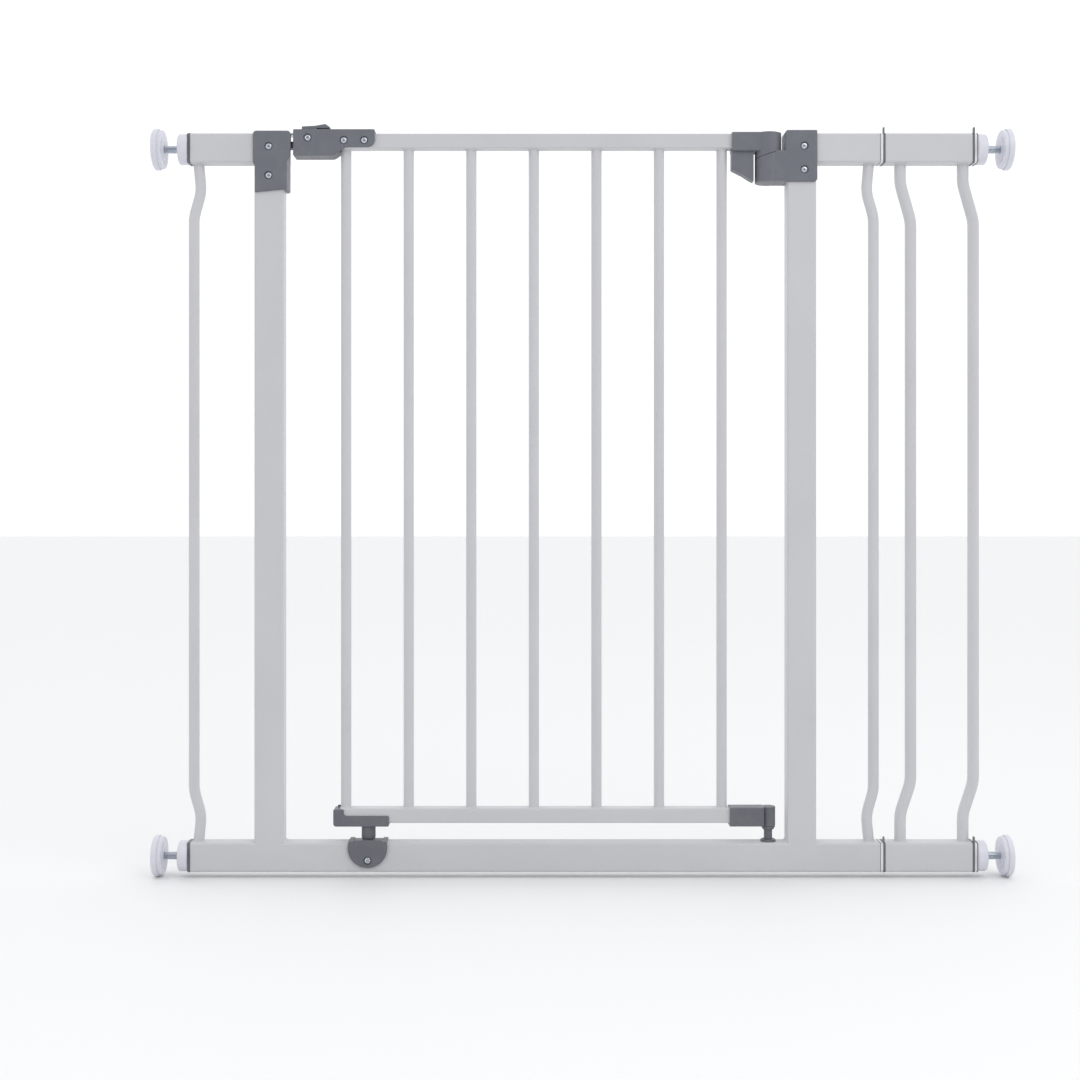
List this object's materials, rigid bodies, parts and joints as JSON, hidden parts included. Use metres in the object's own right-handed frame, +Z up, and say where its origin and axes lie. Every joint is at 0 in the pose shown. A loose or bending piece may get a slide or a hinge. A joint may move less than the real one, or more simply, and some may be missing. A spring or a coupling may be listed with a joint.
{
  "type": "baby safety gate",
  "caption": "Light grey pressure-fit metal baby gate with a barred leaf, grey latch handle, lift hinge, screw-out wall cups and a short extension on its right side",
  "frame": {"origin": "centre of the gate's width and depth, at the lowest point of the lower wall cups", "axes": "+X to the right as seen from the front, +Y to the rear, +Z up"},
  "size_m": [0.875, 0.042, 0.7675],
  "materials": {
    "painted_steel": "satin",
    "grey_plastic": "fine texture",
    "dark_plastic": "fine texture",
    "white_plastic": "satin",
    "joiner_plastic": "satin",
    "zinc_steel": "zinc plated"
  },
  "bodies": {
    "frame": {"bottom_rail": "painted_steel", "left_post": "painted_steel", "right_post": "painted_steel", "left_top_stub": "painted_steel", "right_top_stub": "painted_steel", "left_bent_bar": "painted_steel", "right_bent_bar": "painted_steel", "extension_top_tube": "painted_steel", "extension_bottom_tube": "painted_steel", "extension_left_bar": "painted_steel", "extension_right_bar": "painted_steel", "end_plugs": "dark_plastic", "extension_flanges": "dark_plastic", "extension_joiners": "joiner_plastic", "latch_cap_front": "grey_plastic", "latch_cap_rear": "grey_plastic", "hinge_cap_front": "grey_plastic", "hinge_cap_rear": "grey_plastic", "cap_screws": "zinc_steel", "lower_pivot_pin": "dark_plastic", "bottom_catch": "dark_plastic", "catch_screw": "zinc_steel"},
    "hinge_pin": {"upper_hinge_pin": "zinc_steel"},
    "rise_bush": {"hinge_bush": "dark_plastic"},
    "leaf": {"leaf_top_rail": "painted_steel", "leaf_bottom_rail": "painted_steel", "leaf_bar_1": "painted_steel", "leaf_bar_2": "painted_steel", "leaf_bar_3": "painted_steel", "leaf_bar_4": "painted_steel", "leaf_bar_5": "painted_steel", "leaf_bar_6": "painted_steel", "leaf_bar_7": "painted_steel", "handle_front": "grey_plastic", "handle_rear": "grey_plastic", "handle_screws": "zinc_steel", "latch_hook": "dark_plastic", "leaf_hinge_housing": "grey_plastic", "pivot_bracket": "dark_plastic", "locking_bracket": "dark_plastic", "locking_peg": "dark_plastic", "return_spring": "zinc_steel"},
    "bolt": {"latch_bolt": "zinc_steel", "release_button": "grey_plastic"},
    "nut_wheel_upper_left": {"nut_upper_left": "white_plastic"},
    "wall_end_upper_left": {"spindle_upper_left": "zinc_steel", "foot_upper_left": "white_plastic", "wall_cup_upper_left": "white_plastic"},
    "nut_wheel_lower_left": {"nut_lower_left": "white_plastic"},
    "wall_end_lower_left": {"spindle_lower_left": "zinc_steel", "foot_lower_left": "white_plastic", "wall_cup_lower_left": "white_plastic"},
    "nut_wheel_upper_right": {"nut_upper_right": "white_plastic"},
    "wall_end_upper_right": {"spindle_upper_right": "zinc_steel", "foot_upper_right": "white_plastic", "wall_cup_upper_right": "white_plastic"},
    "nut_wheel_lower_right": {"nut_lower_right": "white_plastic"},
    "wall_end_lower_right": {"spindle_lower_right": "zinc_steel", "foot_lower_right": "white_plastic", "wall_cup_lower_right": "white_plastic"}
  },
  "joints": [
    {"name": "leaf_lift", "type": "slide", "parent": "frame", "child": "hinge_pin", "axis": [0, 0, 1], "range_m": [0, 0.009]},
    {"name": "leaf_rise", "type": "slide", "parent": "hinge_pin", "child": "rise_bush", "axis": [0, 0, 1], "range_m": [0, 0.00695]},
    {"name": "leaf_swing", "type": "hinge", "parent": "rise_bush", "child": "leaf", "pos_m": [0.19, 0, 0.4], "axis": [0, 0, -1], "range_deg": [0, 90]},
    {"name": "bolt_slide", "type": "slide", "parent": "leaf", "child": "bolt", "axis": [1, 0, 0], "range_m": [0, 0.008], "stiffness_N_per_m": 150, "springref_m": -0.02, "deforming": ["return_spring"]},
    {"name": "nut_spin_upper_left", "type": "hinge", "parent": "frame", "child": "nut_wheel_upper_left", "pos_m": [-0.4068, 0, 0.743], "axis": [-1, 0, 0], "range_deg": [-3600, 4320]},
    {"name": "spindle_slide_upper_left", "type": "slide", "parent": "frame", "child": "wall_end_upper_left", "axis": [-1, 0, 0], "range_m": [-0.015, 0.0125]},
    {"name": "nut_spin_lower_left", "type": "hinge", "parent": "frame", "child": "nut_wheel_lower_left", "pos_m": [-0.4068, 0, 0.021], "axis": [-1, 0, 0], "range_deg": [-3600, 4320]},
    {"name": "spindle_slide_lower_left", "type": "slide", "parent": "frame", "child": "wall_end_lower_left", "axis": [-1, 0, 0], "range_m": [-0.015, 0.0125]},
    {"name": "nut_spin_upper_right", "type": "hinge", "parent": "frame", "child": "nut_wheel_upper_right", "pos_m": [0.4068, 0, 0.743], "axis": [1, 0, 0], "range_deg": [-3600, 4320]},
    {"name": "spindle_slide_upper_right", "type": "slide", "parent": "frame", "child": "wall_end_upper_right", "axis": [1, 0, 0], "range_m": [-0.015, 0.0125]},
    {"name": "nut_spin_lower_right", "type": "hinge", "parent": "frame", "child": "nut_wheel_lower_right", "pos_m": [0.4068, 0, 0.021], "axis": [1, 0, 0], "range_deg": [-3600, 4320]},
    {"name": "spindle_slide_lower_right", "type": "slide", "parent": "frame", "child": "wall_end_lower_right", "axis": [1, 0, 0], "range_m": [-0.015, 0.0125]}
  ],
  "couplings": [
    {"joint": "leaf_rise", "follows": "leaf_swing", "m_per_rad": 0.0044},
    {"joint": "nut_spin_upper_left", "follows": "spindle_slide_upper_left", "rad_per_m": -5026.5},
    {"joint": "nut_spin_lower_left", "follows": "spindle_slide_lower_left", "rad_per_m": -5026.5},
    {"joint": "nut_spin_upper_right", "follows": "spindle_slide_upper_right", "rad_per_m": -5026.5},
    {"joint": "nut_spin_lower_right", "follows": "spindle_slide_lower_right", "rad_per_m": -5026.5}
  ]
}
